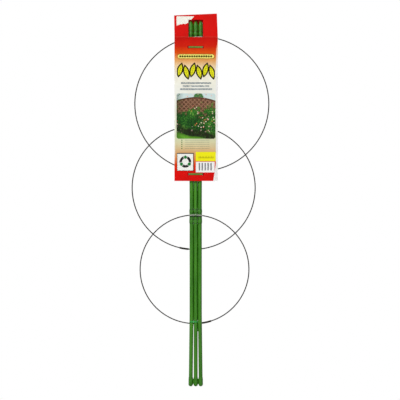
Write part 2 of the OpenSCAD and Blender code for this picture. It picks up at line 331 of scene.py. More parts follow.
def wire_material():
    """Dark resin-dipped spring wire: olive grey with small gloss changes and worn flecks."""
    m = Mat("ring_wire", rough=0.46, metallic=0.05, coat=0.03, coat_rough=0.3, specular=0.2)
    cloud = m.noise((0.12, 0.12, 0.12), 4, 0.6)
    grain = m.noise((3.2, 3.2, 3.2), 3, 0.6)
    colour = m.ramp(cloud, [(0.3, srgb(24, 24, 18)), (0.5, srgb(34, 33, 27)), (0.72, srgb(48, 46, 38))])
    colour = m.mix(m.grade(grain, 0.6, 0.78, 0, 0.45), colour, srgb(112, 107, 94))
    colour = m.mix(m.grade(m.noise((0.5, 0.5, 0.5), 5, 0.7, shift=(4, 4, 1)), 0.64, 0.74, 0, 0.6), colour, srgb(96, 66, 44))
    # painted highlight, bright grey, where it lies across the stakes
    bright = m.both(m.grade(m.math("ABSOLUTE", m.x), 15.6, 12.8), m.grade(m.y, -4.4, -5.2))
    colour = m.mix(m.both(bright, m.grade(grain, 0.25, 0.6, 0.7, 0.95)), colour, srgb(176, 178, 168))
    return m.finish(colour, m.grade(grain, 0.25, 0.75, 0.32, 0.55), grain, depth=0.06, strength=0.6)


def sleeve_material():
    """Blackened crimp sleeve with rubbed edges."""
    m = Mat("join_sleeve", rough=0.5, metallic=0.1, specular=0.25)
    grain = m.noise((2.5, 2.5, 2.5), 4, 0.65)
    cloud = m.noise((0.35, 0.35, 0.35), 3, 0.5)
    colour = m.ramp(cloud, [(0.3, srgb(22, 21, 8)), (0.7, srgb(40, 38, 18))])
    colour = m.mix(m.grade(grain, 0.60, 0.76, 0, 0.5), colour, srgb(96, 90, 62))
    return m.finish(colour, m.grade(grain, 0.25, 0.75, 0.32, 0.6), grain, depth=0.08, strength=0.6)


def tie_material(name, low, mid, high):
    """Plastic-skinned wire tie: bright ribs across the strip, thin skin over the core."""
    m = Mat(name, rough=0.32, coat=0.2, coat_rough=0.15)
    cloud = m.noise((0.4, 0.4, 0.4), 3, 0.5)
    fine = m.noise((3, 3, 3), 3, 0.6)
    colour = m.ramp(cloud, [(0.3, low), (0.52, mid), (0.75, high)])
    colour = m.mix(m.grade(fine, 0.6, 0.8, 0, 0.35), colour, high)
    # painted shade where the strip bends in at a hole
    colour = m.mix(m.both(m.grade(m.math("ABSOLUTE", m.x), HOLE_X - 1.2, HOLE_X + 0.1), 0.85), colour, srgb(26, 24, 8))
    return m.finish(colour, m.grade(fine, 0.25, 0.75, 0.24, 0.45), fine, depth=0.05, strength=0.5)


def paper_colours(m):
    """Uncoated board: warm grey-white with fibres."""
    fibre = m.noise((1.2, 1.2, 5.0), 5, 0.7, distort=1.2)
    cloud = m.noise((0.06, 0.06, 0.06), 4, 0.6)
    colour = m.ramp(cloud, [(0.3, srgb(214, 212, 205)), (0.7, srgb(234, 232, 226))])
    colour = m.mix(m.grade(fibre, 0.55, 0.8, 0, 0.35), colour, srgb(196, 190, 178))
    return colour, fibre


def paper_material():
    m = Mat("card_paper", rough=0.8, specular=0.3)
    colour, fibre = paper_colours(m)
    return m.finish(colour, m.grade(fibre, 0.2, 0.8, 0.7, 0.9), fibre, depth=0.05, strength=0.5)


RED = srgb(214, 22, 10)


def red_material():
    """Plain printed red of the head, on its back and on the tongue."""
    m = Mat("card_red", rough=0.42, coat=0.02, coat_rough=0.2, specular=0.16)
    cloud = m.noise((0.05, 0.05, 0.05), 3, 0.5)
    fine = m.noise((3, 3, 3), 3, 0.6)
    colour = m.ramp(cloud, [(0.3, srgb(202, 4, 1)), (0.7, srgb(222, 9, 2))])
    colour = m.mix(m.grade(m.noise((0.9, 0.9, 0.9), 5, 0.7), 0.66, 0.76, 0, 0.4), colour, srgb(236, 150, 130))
    return m.finish(colour, m.grade(fine, 0.3, 0.7, 0.28, 0.42), fine, depth=0.02, strength=0.4)


def print_material():
    """Front of the card: red head fading through orange to cream, leaf garland, garden panel and plain data panels."""
    m = Mat("card_print", rough=0.42, coat=0.02, coat_rough=0.2, specular=0.16)
    # ground: red head, orange, cream, and back to red at the foot; the red darkens just under the crease as painted
    # shade, and steps brighter above it as painted light on the leaning flap
    t = m.grade(m.z, 450.0, 820.0)

    def at(z):
        return (z - 450.0) / 370.0
    ground = m.ramp(t, [
        (at(470), srgb(230, 6, 1)), (at(486), srgb(232, 58, 8)), (at(505), srgb(228, 158, 92)), (at(526), srgb(232, 216, 168)),
        (at(548), srgb(224, 236, 198)), (at(580), srgb(240, 244, 220)), (at(650), srgb(250, 251, 242)), (at(684), srgb(252, 247, 226)), (at(700), srgb(250, 222, 176)), (at(714), srgb(238, 172, 98)),
        (at(730), srgb(230, 84, 6)), (at(745), srgb(216, 30, 2)), (at(764), srgb(202, 8, 1)), (at(768), srgb(222, 8, 1))])
    cloud = m.noise((0.035, 0.035, 0.035), 3, 0.5)
    col = m.mix(m.grade(cloud, 0.3, 0.7, 0.0, 1.0), ground, srgb(238, 236, 232), "MULTIPLY")

    # white patch with a ragged lower edge, top left of the flap
    wave = m.math("MULTIPLY_ADD", m.noise((0.16, 0.16, 0.02), 2, 0.5), 14.0, -7.0)
    slope = m.math("MULTIPLY_ADD", m.x, 0.16, 798.4)
    low_edge = m.math("SUBTRACT", m.math("ADD", slope, m.math("MULTIPLY", wave, 0.6)), m.z)
    patch = m.math("MAXIMUM", m.box(-22.0, 799.0, 20.0, 11.6, 1.2), m.math("MULTIPLY", low_edge, 0.8))
    slant = m.math("MULTIPLY_ADD", m.z, -0.9, m.math("ADD", m.x, 10.0 + 0.9 * 803.0))
    patch = m.math("MAXIMUM", patch, m.math("MULTIPLY", slant, 0.74))
    col = m.mix(m.inside(patch), col, srgb(246, 244, 232))

    # cream pill
    pill = m.box(0.6, 722.6, 41.0, 5.6, 5.5)
    col = m.mix(m.inside(pill), col, srgb(150, 84, 14))
    col = m.mix(m.inside(m.math("ADD", pill, 1.2)), col, srgb(248, 234, 120))
    # a row of small green beads on the pill
    u = m.math("SUBTRACT", m.math("MODULO", m.math("ADD", m.x, 104.0), 5.2), 2.6)
    w = m.math("SUBTRACT", m.z, 722.6)
    bead = m.math("SUBTRACT", m.math("SQRT", m.math("MULTIPLY_ADD", u, u, m.math("MULTIPLY", w, w))), 2.35)
    bead = m.both(m.inside(bead), m.inside(m.box(0.0, 722.6, 36.4, 4.0)))
    col = m.mix(bead, col, srgb(74, 78, 16))

    # garland of yellow leaves, leaning by turns to the left and the right
    pitch = 13.9
    sx = m.math("ADD", m.x, 41.2)
    cell = m.math("FLOOR", m.math("DIVIDE", sx, pitch))
    u = m.math("SUBTRACT", m.math("SUBTRACT", sx, m.math("MULTIPLY", cell, pitch)), pitch / 2)
    lean = m.math("MULTIPLY_ADD", m.math("MODULO", m.math("ABSOLUTE", cell), 2.0), -2.0, 1.0)
    w = m.math("SUBTRACT", m.z, 690.5)
    w = m.math("MULTIPLY_ADD", lean, -2.4, w)
    ca, sa = math.cos(math.radians(15)), math.sin(math.radians(15))
    lu = m.math("MULTIPLY_ADD", m.math("MULTIPLY", lean, w), -sa, m.math("MULTIPLY", u, ca))
    lw = m.math("MULTIPLY_ADD", m.math("MULTIPLY", lean, u), sa, m.math("MULTIPLY", w, ca))
    along = m.math("DIVIDE", lw, 15.2)
    wide = m.math("MULTIPLY_ADD", m.math("MULTIPLY", along, along), -5.6, 5.6)
    leaf = m.math("SUBTRACT", m.math("ABSOLUTE", lu), wide)
    only = m.inside(m.box(0.5, 690.0, 41.6, 20.6))
    col = m.mix(m.both(m.inside(m.math("SUBTRACT", leaf, 1.7)), only), col, srgb(34, 28, 2))
    col = m.mix(m.both(m.inside(m.math("ADD", leaf, 1.5)), only), col, srgb(240, 238, 30))
    vein = m.math("MAXIMUM", m.math("SUBTRACT", m.math("ABSOLUTE", lu), 0.42), m.math("ADD", leaf, 1.6))
    rib = m.math("ABSOLUTE", m.math("SUBTRACT", m.math("MODULO", m.math("ADD", m.math("MULTIPLY_ADD", m.math("ABSOLUTE", lu), -0.9, lw), 60.0), 5.0), 2.5))
    rib = m.math("MAXIMUM", m.math("SUBTRACT", rib, 0.3), m.math("ADD", leaf, 1.9))
    col = m.mix(m.both(m.inside(m.math("MINIMUM", vein, rib)), only), col, srgb(150, 140, 10))

    # three fine broken rules
    dash = m.grade(m.noise((0.9, 0.01, 0.2), 2, 0.6), 0.37, 0.48)
    for z, h in ((664.2, 33.0), (657.5, 29.0), (650.8, 35.0)):
        rule = m.both(m.inside(m.box(0.8, z, h, 1.9)), dash)
        col = m.mix(m.both(rule, 0.9), col, srgb(116, 130, 138))

    # garden panel: pale sky, lattice fence with climbing leaves, blossoms and a hedge foot
    panel = m.box(0.7, 592.0, 42.6, 49.6, 5.0)
    sky = m.ramp(m.grade(m.z, 600.0, 642.0), [(0.0, srgb(222, 232, 214)), (1.0, srgb(206, 226, 226))])
    d1 = m.math("ABSOLUTE", m.math("SUBTRACT", m.math("MODULO", m.math("ADD", m.math("ADD", m.x, m.z), 0.0), 9.4), 4.7))
    d2 = m.math("ABSOLUTE", m.math("SUBTRACT", m.math("MODULO", m.math("ADD", m.math("SUBTRACT", m.z, m.x), 400.0), 9.4), 4.7))
    lattice = m.inside(m.math("SUBTRACT", m.math("MINIMUM", d1, d2), 1.3))
    wood = m.ramp(m.noise((0.5, 0.5, 0.5), 3, 0.6), [(0.3, srgb(112, 78, 56)), (0.7, srgb(178, 132, 104))])
    # boards stand behind the lattice, under a gently bowed rail
    rail = m.math("MULTIPLY_ADD", m.math("MULTIPLY", m.x, m.x), -0.0042, 632.0)
    over = m.math("SUBTRACT", m.z, rail)
    boards = m.ramp(m.noise((0.32, 0.1, 0.03), 3, 0.6, shift=(4, 0, 2)), [(0.35, srgb(70, 46, 34)), (0.65, srgb(128, 90, 66))])
    fence = m.mix(lattice, boards, wood)
    pic = m.mix(m.grade(over, 0.3, -0.3), sky, fence)
    pic = m.mix(m.inside(m.math("SUBTRACT", m.math("ABSOLUTE", over), 1.6)), pic, srgb(92, 58, 42))
    # a bush looks over the rail
    bush = m.math("SUBTRACT", m.disc(6.0, 632.0, 11.0), m.math("MULTIPLY_ADD", m.noise((0.3, 0.3, 0.3), 3, 0.6), 8.0, -4.0))
    bush = m.both(m.inside(bush, 1.0), m.grade(over, 1.2, 2.0))
    pic = m.mix(bush, pic, m.ramp(m.noise((0.7, 0.7, 0.7), 3, 0.6), [(0.35, srgb(36, 84, 40)), (0.65, srgb(96, 150, 84))]))
    # leaves
    far, tint = m.cells((0.34, 0.34, 0.34), (3, 1, 2))
    near, tint2 = m.cells((0.62, 0.62, 0.62), (8, 5, 2))
    mass = m.noise((0.055, 0.055, 0.055), 4, 0.6, shift=(2.3, 0, 5.1))
    tone = m.math("MULTIPLY_ADD", near, -0.7, m.math("ADD", mass, m.math("MULTIPLY", far, -0.25)))
    leaves = m.ramp(m.grade(tone, -0.35, 0.45), [(0.0, srgb(10, 30, 12)), (0.38, srgb(26, 70, 26)), (0.64, srgb(50, 118, 38)), (0.86, srgb(104, 168, 56)), (1.0, srgb(184, 210, 116))])
    leaves = m.mix(0.14, leaves, tint2, "OVERLAY")
    cover = m.math("MULTIPLY_ADD", m.grade(m.z, 556.0, 622.0), -0.72, m.math("ADD", mass, 0.34))
    cover = m.grade(m.math("ADD", cover, m.math("MULTIPLY", far, -0.22)), 0.16, 0.22)
    pic = m.mix(cover, pic, leaves)
    # blossoms
    bd, bc = m.cells((0.2, 0.2, 0.2), (1.5, 4, 7))
    bloom = m.both(m.grade(bd, 0.30, 0.22), m.grade(m.noise((0.045, 0.045, 0.045), 2, 0.5, shift=(7, 1, 1)), 0.47, 0.52))
    bloom = m.both(bloom, m.grade(m.z, 552.0, 560.0))
    bcol = m.mix(m.grade(bd, 0.05, 0.2), srgb(250, 220, 120), m.ramp(bc, [(0.2, srgb(206, 60, 50)), (0.5, srgb(232, 130, 120)), (0.8, srgb(246, 222, 214))]))
    pic = m.mix(m.both(bloom, 0.95), pic, bcol)
    # hedge foot and path along the bottom
    foot = m.math("MULTIPLY_ADD", m.x, -0.22, m.math("MULTIPLY_ADD", m.math("SINE", m.math("MULTIPLY", m.x, 0.12)), 1.2, 547.5))
    below = m.grade(m.math("SUBTRACT", foot, m.z), 0.0, 1.2)
    grass = m.ramp(m.noise((0.8, 0.8, 2.5), 3, 0.6), [(0.3, srgb(66, 134, 30)), (0.7, srgb(120, 186, 58))])
    pic = m.mix(below, pic, grass)
    shade = m.both(m.grade(m.math("ABSOLUTE", m.math("SUBTRACT", m.math("SUBTRACT", m.z, foot), 7.0)), 13.0, 4.0), m.grade(m.noise((0.25, 0.25, 0.25), 3, 0.6, shift=(1, 2, 8)), 0.3, 0.55, 0.55, 0.92))
    pic = m.mix(shade, pic, srgb(34, 24, 18))
    pic = m.mix(m.both(m.grade(m.x, -26.0, -42.0), 0.5), pic, srgb(12, 30, 14))
    col = m.mix(m.inside(panel), col, pic)

    # five green bullets, each with a faint broken rule
    row = m.math("SUBTRACT", m.math("MODULO", m.math("SUBTRACT", 539.4 + 4.6 / 2, m.z), 4.6), 2.3)
    dx = m.math("ADD", m.x, 30.4)
    dot = m.math("SUBTRACT", m.math("SQRT", m.math("MULTIPLY_ADD", dx, dx, m.math("MULTIPLY", row, row))), 1.3)
    rows = m.inside(m.box(0.0, 529.9, 46.0, 11.6))
    col = m.mix(m.both(m.inside(dot), rows), col, srgb(50, 110, 40))
    rule = m.math("SUBTRACT", m.math("ABSOLUTE", row), 0.55)
    rule = m.both(m.both(m.inside(rule), m.inside(m.box(3.0, 529.9, 27.0, 11.6))), m.both(dash, 0.62))
    col = m.mix(rule, col, srgb(116, 122, 96))

    # white panel with a dark frame: plan of the support, a ring on three stakes
    plate = m.box(-22.6, 491.7, 18.4, 19.7, 0.6)
    col = m.mix(m.inside(plate), col, srgb(44, 36, 32))
    col = m.mix(m.inside(m.box(-22.9, 491.2, 17.2, 18.2, 0.4)), col, srgb(246, 246, 240))
    ring = m.math("SUBTRACT", m.math("ABSOLUTE", m.disc(-22.6, 492.0, 10.0)), 2.7)
    col = m.mix(m.inside(ring), col, srgb(26, 26, 24))
    for a in (90, 210, 330):
        px, pz = -22.6 + 10.0 * math.cos(math.radians(a)), 492.0 + 10.0 * math.sin(math.radians(a))
        col = m.mix(m.inside(m.disc(px, pz, 4.3)), col, srgb(246, 246, 240))
        col = m.mix(m.inside(m.disc(px, pz, 3.6)), col, srgb(36, 124, 56))

    # yellow panel with a graduated line
    col = m.mix(m.inside(m.box(22.3, 503.6, 22.2, 10.0, 0.4)), col, srgb(246, 240, 24))
    line = m.inside(m.box(22.3, 500.6, 17.0, 0.45))
    tick = m.math("ABSOLUTE", m.math("SUBTRACT", m.math("MODULO", m.math("ADD", m.x, 100.0 - 22.3 + 1.7), 3.4), 1.7))
    tick = m.both(m.inside(m.math("SUBTRACT", tick, 0.32)), m.inside(m.box(22.3, 502.6, 17.4, 2.2)))
    col = m.mix(m.math("MAXIMUM", line, tick), col, srgb(120, 104, 10))

    # white panel with even grey bars
    col = m.mix(m.inside(m.box(20.8, 480.4, 20.5, 11.6, 0.4)), col, srgb(248, 248, 246))
    bar = m.math("ABSOLUTE", m.math("SUBTRACT", m.math("MODULO", m.math("ADD", m.x, 97.6), 6.4), 3.2))
    bar = m.both(m.inside(m.math("SUBTRACT", bar, 1.5)), m.inside(m.box(20.8, 481.4, 16.0, 8.2)))
    col = m.mix(m.both(bar, 0.85), col, srgb(86, 86, 92))

    # unprinted margin down the right side, widening to the foot
    edge = m.math("MULTIPLY_ADD", m.grade(m.z, 488.0, 450.0), 5.6, m.math("ADD", m.grade(m.z, 756.0, 738.0, 0.1, 3.4), m.grade(m.z, 738.0, 690.0, 0.0, 1.0)))
    margin = m.math("SUBTRACT", 48.4, edge)
    bare = m.both(m.grade(m.math("SUBTRACT", m.x, margin), -0.2, 0.3), m.grade(m.z, 764.5, 763.0))
    col = m.mix(bare, col, m.mix(m.grade(m.z, 700.0, 750.0), srgb(244, 243, 240), srgb(250, 176, 132)))
    # thin margin on the left of the pale part
    bare = m.both(m.grade(m.x, -44.6, -45.4), m.both(m.grade(m.z, 700.0, 670.0), m.grade(m.z, 486.0, 510.0)))
    col = m.mix(m.both(bare, 0.7), col, srgb(246, 244, 236))

    # painted shade around the tie holes
    for z in (465.0, 743.0):
        mid = m.math("ABSOLUTE", m.x)
        d = m.math("MAXIMUM", m.math("SUBTRACT", m.math("ABSOLUTE", m.math("SUBTRACT", mid, 15.9)), 1.7), m.math("SUBTRACT", m.math("ABSOLUTE", m.math("SUBTRACT", m.z, z)), 2.7))
        col = m.mix(m.both(m.inside(d, 1.2), 0.8), col, srgb(62, 8, 4))
        # and a painted shadow along the strip
        d = m.math("MAXIMUM", m.math("SUBTRACT", mid, 15.2), m.math("SUBTRACT", m.math("ABSOLUTE", m.math("SUBTRACT", m.z, z)), 2.7))
        col = m.mix(m.both(m.inside(d, 1.6), 0.5), col, srgb(100, 26, 2))

    # painted highlight along the crease; wear: rubbed edges, tiny flecks
    wear_and_sheen_noise = m.noise((0.7, 0.7, 0.7), 5, 0.7)
    crease = m.both(m.grade(m.math("ABSOLUTE", m.math("SUBTRACT", m.z, 765.2)), 1.0, 0.2), m.grade(wear_and_sheen_noise, 0.36, 0.6, 0.0, 0.32))
    col = m.mix(crease, col, srgb(238, 120, 96))
    side = m.math("SUBTRACT", 48.2, m.math("ABSOLUTE", m.math("SUBTRACT", m.x, 0.6)))
    worn = m.both(m.grade(side, 1.9, 0.5), m.grade(wear_and_sheen_noise, 0.5, 0.66, 0.0, 0.6))
    col = m.mix(worn, col, srgb(240, 226, 214))
    col = m.mix(m.grade(m.noise((1.4, 1.4, 1.4), 5, 0.7, shift=(3, 3, 3)), 0.68, 0.76, 0, 0.4), col, srgb(244, 224, 210))
    fine = m.noise((2.6, 2.6, 2.6), 3, 0.6)
    buckle = m.noise((0.03, 0.03, 0.02), 2, 0.5, shift=(5, 5, 5))
    height = m.math("MULTIPLY_ADD", buckle, 0.85, m.math("MULTIPLY", fine, 0.02))
    return m.finish(col, m.grade(fine, 0.3, 0.7, 0.26, 0.40), height, depth=1.2, strength=0.5)


MATS = {
    "green_coating": coating_material(),
    "green_moulding": moulding_material(),
    "steel_tube": steel_material(),
    "ring_wire": wire_material(),
    "join_sleeve": sleeve_material(),
    "tie_olive": tie_material("tie_olive", srgb(58, 108, 24), srgb(78, 134, 36), srgb(112, 164, 62)),
    "tie_emerald": tie_material("tie_emerald", srgb(22, 140, 52), srgb(36, 168, 66), srgb(88, 206, 112)),
    "card_paper": paper_material(),
    "card_red": red_material(),
    "card_print": print_material(),
}


def coat(name, key):
    o = NODE[name]
    o.data.materials.clear()
    o.data.materials.append(MATS[key])
    for p in o.data.polygons:
        p.material_index = 0


for side in ("centre", "left", "right"):
    coat(f"{side}_tube", "steel_tube")
    coat(f"{side}_coating", "green_coating")
    coat(f"{side}_top_cap", "green_moulding")
    coat(f"{side}_foot_cap", "green_moulding")
    for level in ("top", "mid", "low"):
        coat(f"{side}_{'eye' if side == 'centre' else 'stop'}_collar_{level}", "green_moulding")
for ring in ("top", "middle", "bottom"):
    coat(f"{ring}_ring_wire", "ring_wire")
    coat(f"{ring}_ring_sleeve", "join_sleeve")
coat("sales_card", "card_red")
coat("upper_card_tie", "tie_olive")
coat("lower_card_tie", "tie_olive")
coat("low_stake_tie", "tie_emerald")


# ---------------------------------------------------------------- mesh helpers
def piece(name, verts, faces, mats, body, node, index=None, sharp=38):
    """A mesh piece given in millimetres, standing for one CAD node."""
    mesh = bpy.data.meshes.new(name)
    mesh.from_pydata([tuple(float(c) * MM for c in v) for v in verts], [], faces)
    for key in mats:
        mesh.materials.append(MATS[key])
    if index is not None:
        mesh.polygons.foreach_set("material_index", index)
    bm = bmesh.new()
    bm.from_mesh(mesh)
    bmesh.ops.recalc_face_normals(bm, faces=bm.faces)
    bm.to_mesh(mesh)
    bm.free()
    mesh.polygons.foreach_set("use_smooth", [True] * len(mesh.polygons))
    mesh.set_sharp_from_angle(angle=math.radians(sharp))
    o = bpy.data.objects.new(name, mesh)
    scene.collection.objects.link(o)
    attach(o, body)
    if node:
        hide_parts(node)
    return o


def sweep(path, wide, section):
    """Closed section run along a path: wide gives each point's width direction, section its outline (one, or one per point)."""
    path, wide = np.asarray(path, float), np.asarray(wide, float)
    n = len(path)
    t = np.gradient(path, axis=0)
    t /= np.linalg.norm(t, axis=1)[:, None]
    w = wide - (wide * t).sum(1)[:, None] * t
    w /= np.linalg.norm(w, axis=1)[:, None]
    d = np.cross(t, w)
    section = np.asarray(section, float)
    if section.ndim == 2:
        section = np.repeat(section[None], n, 0)
    v = path[:, None] + section[:, :, :1] * w[:, None] + section[:, :, 1:] * d[:, None]
    k = section.shape[1]
    faces = [(i * k + j, i * k + (j + 1) % k, (i + 1) * k + (j + 1) % k, (i + 1) * k + j) for i in range(n - 1) for j in range(k)]
    faces += [tuple(range(k))[::-1], tuple(range((n - 1) * k, n * k))]
    return v.reshape(-1, 3), faces


def joined(*parts):
    verts, faces, base = [], [], 0
    for v, f in parts:
        verts.append(np.asarray(v))
        faces += [tuple(i + base for i in q) for q in f]
        base += len(v)
    return np.concatenate(verts), faces


def rounded(points, radius, step=0.5):
    """A polyline with its corners rounded, in points about step apart."""
    p = [np.asarray(q, float) for q in points]
    out = [p[0]]
    for a, b, c in zip(p, p[1:], p[2:]):
        r = min(radius, 0.48 * np.linalg.norm(b - a), 0.48 * np.linalg.norm(c - b))
        s = b + (a - b) / np.linalg.norm(a - b) * r
        e = b + (c - b) / np.linalg.norm(c - b) * r
        for u in np.linspace(0, 1, 7):
            out.append((1 - u) ** 2 * s + 2 * u * (1 - u) * b + u ** 2 * e)
    out.append(p[-1])
    fine = [out[0]]
    for a, b in zip(out, out[1:]):
        k = max(1, int(np.linalg.norm(b - a) / step))
        fine += [a + (b - a) * (i + 1) / k for i in range(k)]
    keep = [fine[0]]
    for q in fine[1:]:
        if np.linalg.norm(q - keep[-1]) > 0.04:
            keep.append(q)
    return np.array(keep)


# ---------------------------------------------------------------- card
CARD_Y, CARD_T = -10.0, 0.6
LEFT, RIGHT, LOW, CREASE = -46.5, 48.4, 450.0, 765.0
WIN_X, WIN_TOP = 16.2, 803.0
HOLE_IN, HOLE_OUT, HOLE_H = HOLE_X - 0.38, HOLE_X + 0.36, 1.78
LEAN = math.tan(math.radians(5))


def card_surface(x, z):
    """Middle of the card's thickness: flat where it is tied, a little wavy towards its sides, leaning back above the crease."""
    out = np.clip((np.abs(x - 0.9) - 19.0) / 27.0, 0, 1)
    wing = out * out * (3 - 2 * out)
    wave = 0.22 * np.sin(z / 37.0 + 0.6) + 0.16 * np.sin(z / 17.0 + x / 30.0)
    curl = 0.55 * np.clip((x - 40.0) / 8.4, 0, 1) ** 2 - 0.2 * wing
    low = -0.22 * np.clip((478.0 - z) / 28.0, 0, 1) ** 2 * wing
    fade = np.clip((790.0 - z) / 30.0, 0.25, 1)
    bend = 1.1 * np.logaddexp(0, (z - CREASE) / 1.1) * LEAN
    return CARD_Y + wing * wave * fade + curl * fade + low + bend


def card_mesh():
    xs = np.concatenate([np.linspace(LEFT, -WIN_X, 14), [-HOLE_OUT], np.linspace(-HOLE_IN, HOLE_IN, 13), [HOLE_OUT], np.linspace(WIN_X, RIGHT, 14)])
    zs = np.concatenate([
        np.linspace(LOW, 465.0 - HOLE_H, 6), [465.0], np.linspace(465.0 + HOLE_H, 743.0 - HOLE_H, 92), [743.0], np.linspace(743.0 + HOLE_H, 762.0, 7),
        np.linspace(762.6, 768.0, 10), np.linspace(768.0, WIN_TOP, 15)[1:], np.linspace(WIN_TOP, 817.0, 6)[1:]])
    zs = np.unique(np.round(np.append(zs, CREASE), 4))
    gx, gz = np.meshgrid(xs, zs, indexing="ij")
    # trim: the flap narrows, and its top edge rises to the right
    up = np.clip(gz - CREASE, 0, None)
    left = LEFT - 0.8 * np.clip(up / 47.6, 0, 1)
    right = RIGHT - 2.0 * up / 52.0
    gx = np.where(gx < -WIN_X, -WIN_X + (gx + WIN_X) / (LEFT + WIN_X) * (left + WIN_X), gx)
    gx = np.where(gx > WIN_X, WIN_X + (gx - WIN_X) / (RIGHT - WIN_X) * (right - WIN_X), gx)
    top = CREASE + 47.12 + 5.0 * (gx - LEFT + 9.0) / (RIGHT - LEFT + 18.0)
    gz = np.where(gz > WIN_TOP, WIN_TOP + (gz - WIN_TOP) / (817.0 - WIN_TOP) * (top - WIN_TOP), gz)
    gy = card_surface(gx, gz)
    e = 0.05
    sx = (card_surface(gx + e, gz) - card_surface(gx - e, gz)) / (2 * e)
    sz = (card_surface(gx, gz + e) - card_surface(gx, gz - e)) / (2 * e)
    n = np.stack([-sx, np.ones_like(sx), -sz], -1)
    n /= np.linalg.norm(n, axis=-1)[..., None]
    mid = np.stack([gx, gy, gz], -1)
    front, back = mid - n * CARD_T / 2, mid + n * CARD_T / 2
    nx, nz = len(xs), len(zs)
    cells = set()
    for i in range(nx - 1):
        for j in range(nz - 1):
            cx, cz = (xs[i] + xs[i + 1]) / 2, (zs[j] + zs[j + 1]) / 2
            if abs(cx) < WIN_X and CREASE < cz < WIN_TOP:
                continue
            if HOLE_IN < abs(cx) < HOLE_OUT and min(abs(cz - 465.0), abs(cz - 743.0)) < HOLE_H:
                continue
            cells.add((i, j))
    ids, verts = {}, []

    def vid(i, j, side):
        if (i, j, side) not in ids:
            ids[i, j, side] = len(verts)
            verts.append((front if side == 0 else back)[i, j])
        return ids[i, j, side]
    faces, index = [], []
    for i, j in sorted(cells):
        ring = [(i, j), (i + 1, j), (i + 1, j + 1), (i, j + 1)]
        faces.append(tuple(vid(*q, 0) for q in ring))
        index.append(0)
        faces.append(tuple(vid(*q, 1) for q in ring[::-1]))
        # the head is red on its back too
        index.append(2 if zs[j] >= CREASE else 1)
        for a, b, nb in ((ring[0], ring[1], (i, j - 1)), (ring[1], ring[2], (i + 1, j)), (ring[2], ring[3], (i, j + 1)), (ring[3], ring[0], (i - 1, j))):
            if nb not in cells:
                faces.append((vid(*b, 0), vid(*a, 0), vid(*a, 1), vid(*b, 1)))
                # ink has run over the cut edges of the window and the tie holes
                cut = abs(xs[i]) < 18.0 and abs(xs[i + 1]) < 18.0 and LOW < (zs[a[1]] + zs[b[1]]) / 2 < 810.0
                bottom = nb == (i, j + 1) and zs[j + 1] == CREASE
                index.append(2 if cut and not bottom else 1)
    return np.array(verts), faces, index


def tongue_mesh():
    """Strip cut free at the window, folded back over the tips and down behind them."""
    y0 = card_surface(np.array([0.0]), np.array([WIN_TOP]))[0]
    line = rounded([(0, y0 + 0.08, WIN_TOP + 0.35), (0, y0 + 0.75, WIN_TOP + 0.7), (0, 6.9, WIN_TOP + 0.7), (0, 6.9, 790.0), (0, 6.85, 766.3)], 1.6, 1.5)
    half = WIN_X + 0.4
    cols = np.linspace(-half, half, 15)
    sec = [(c, -CARD_T / 2) for c in cols] + [(c, CARD_T / 2) for c in cols[::-1]]
    v, f = sweep(line, np.repeat([[1.0, 0, 0]], len(line), 0), sec)
    k = len(sec)
    index = []
    for q in f:
        on = np.array([i % k for i in q])
        flat = len(q) == 4 and ((on < k // 2).all() or (on >= k // 2).all())
        index.append(2 if flat else 1)
    return v, f, index


cv, cf, ci = card_mesh()
tv, tf, ti = tongue_mesh()
av, af = joined((cv, cf), (tv, tf))
piece("card_sheet", av, af, ["card_print", "card_paper", "card_red"], "centre_stake", "sales_card", ci + ti, sharp=40)


# ---------------------------------------------------------------- ties
def strip_section(width, thin=0.17, core=0.33):
    """Flat strip with a wire core down its middle."""
    h = width / 2
    rise = core - thin
    top = [(-h, 0.06), (-h + 0.12, thin), (-0.62, thin), (-0.42, thin + 0.44 * rise), (-0.2, thin + 0.82 * rise), (0.0, core), (0.2, thin + 0.82 * rise), (0.42, thin + 0.44 * rise), (0.62, thin), (h - 0.12, thin), (h, 0.06)]
    low = [(a, -b) for a, b in top[::-1]]
    return np.array(top + low)


def twisted(x0, y0, z_top, length, turns, phase, radius=0.42):
    """One strand of a twisted tail, hanging down."""
    n = 60
    u = np.linspace(0, 1, n)
    a = 2 * math.pi * turns * u + phase
    grow = radius * np.clip(1.25 - 0.35 * u, 0.8, 1.2)
    path = np.stack([x0 + grow * np.cos(a), y0 + grow * np.sin(a) * 0.9, z_top - length * u], 1)
    wide = np.stack([-np.sin(a), np.cos(a), np.zeros(n)], 1)
    k = np.linspace(0, 2 * math.pi, 12, endpoint=False)
    return sweep(path, wide, np.stack([0.52 * np.cos(k), 0.34 * np.sin(k)], 1))


def card_tie(name, node, z, gap, key):
    front, behind, hole, back = -10.77, -9.0, HOLE_X, 5.5
    plan = [(-0.9, back - 0.25), (-gap, 3.9), (-gap, behind), (-hole, behind), (-hole, front), (hole, front), (hole, behind), (gap, behind), (gap, 3.9), (0.9, back - 0.25)]
    line = rounded([(x, y, z) for x, y in plan], 1.1, 0.8)
    w = np.zeros_like(line)
    w[:, 2] = 1.0
    # the strip rolls a little where it lies across the front
    w[:, 1] = 0.03 * np.sin(line[:, 0] * 0.35) * (line[:, 1] < -10.0)
    # and is squeezed thin between the stakes
    thin = np.clip((line[:, 1] + 8.6) / 1.6, 0, 1)[:, None, None]
    section = strip_section(3.4)[None] * (1 - thin) + strip_section(3.4, 0.10, 0.16)[None] * thin
    strip = sweep(line, w, section)
    t1 = twisted(0, back + 0.3, z + 1.6, 15.2, 3.2, 0.0)
    t2 = twisted(0, back + 0.3, z + 1.6, 14.6, 3.2, math.pi)
    v, f = joined(strip, t1, t2)
    return piece(name, v, f, [key], "centre_stake", node, sharp=50)


card_tie("upper_tie_strip", "upper_card_tie", 743.0, 5.322, "tie_olive")
card_tie("lower_tie_strip", "lower_card_tie", 465.0, 4.696, "tie_olive")


